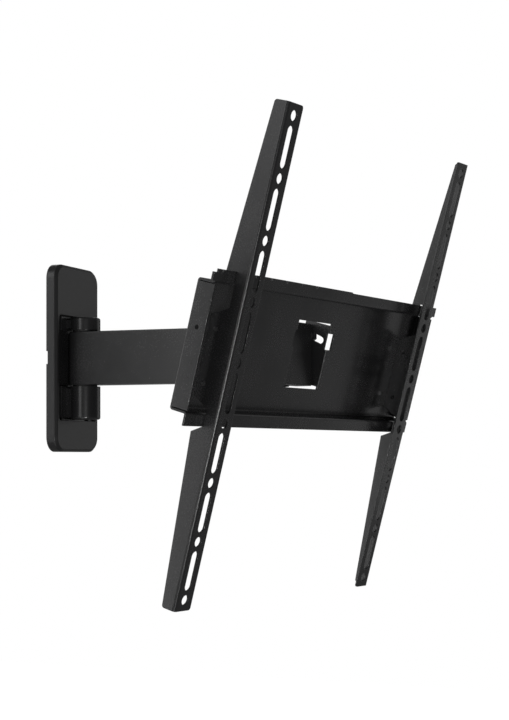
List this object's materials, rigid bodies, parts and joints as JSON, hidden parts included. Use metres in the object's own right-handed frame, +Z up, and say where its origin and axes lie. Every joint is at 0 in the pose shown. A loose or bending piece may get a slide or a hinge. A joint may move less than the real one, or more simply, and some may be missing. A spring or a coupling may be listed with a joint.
{
  "type": "full motion tv wall mount",
  "caption": "Wall mount with a covered wall plate, a swinging box arm, a swivelling and tilting head plate and two hooked strips with rows of holes and slots.",
  "frame": {"origin": "centre of the wall plate's back face, on the wall", "axes": "+X right when facing the wall, +Y into the wall, +Z up"},
  "size_m": [0.3813, 0.3495, 0.4071],
  "materials": {
    "black_steel": "powder coated",
    "black_plastic": "satin",
    "black_hardware": "satin",
    "nylon": "matte"
  },
  "bodies": {
    "wall": {"wall_plate": "black_steel", "wall_cover": "black_plastic", "hinge_ear_upper": "black_steel", "hinge_ear_lower": "black_steel", "wall_pivot_pin": "black_hardware", "wall_pivot_nut": "black_hardware", "wall_pivot_cap": "black_plastic", "wall_pivot_plug": "black_plastic"},
    "arm": {"arm_shell": "black_steel", "arm_base_plate": "black_steel", "arm_wall_hub": "black_steel", "arm_head_hub": "black_steel", "arm_wall_bush_upper": "nylon", "arm_wall_bush_lower": "nylon", "arm_head_bush_upper": "nylon", "arm_head_bush_lower": "nylon"},
    "swivel": {"tilt_yoke": "black_steel", "head_pivot_pin": "black_hardware", "head_pivot_ring": "black_hardware", "tilt_pivot_bolts": "black_hardware", "tilt_guide_bolts": "black_hardware", "tilt_pivot_nuts": "black_hardware", "tilt_pivot_washers": "nylon", "tilt_guide_washers": "nylon"},
    "head": {"interface_plate": "black_steel", "left_strip": "black_steel", "right_strip": "black_steel"}
  },
  "joints": [
    {"name": "arm_swing", "type": "hinge", "parent": "wall", "child": "arm", "pos_m": [0, -0.0183, 0], "axis": [0, 0, 1], "range_deg": [-63.25, 56.75]},
    {"name": "head_swivel", "type": "hinge", "parent": "arm", "child": "swivel", "pos_m": [0.011, -0.21199, 0], "axis": [0, 0, 1], "range_deg": [-36.62, 63.38]},
    {"name": "head_tilt", "type": "hinge", "parent": "swivel", "child": "head", "pos_m": [0.00954, -0.22016, -0.01708], "axis": [0.9844, -0.1759, 0], "range_deg": [-21.3, 0]}
  ]
}
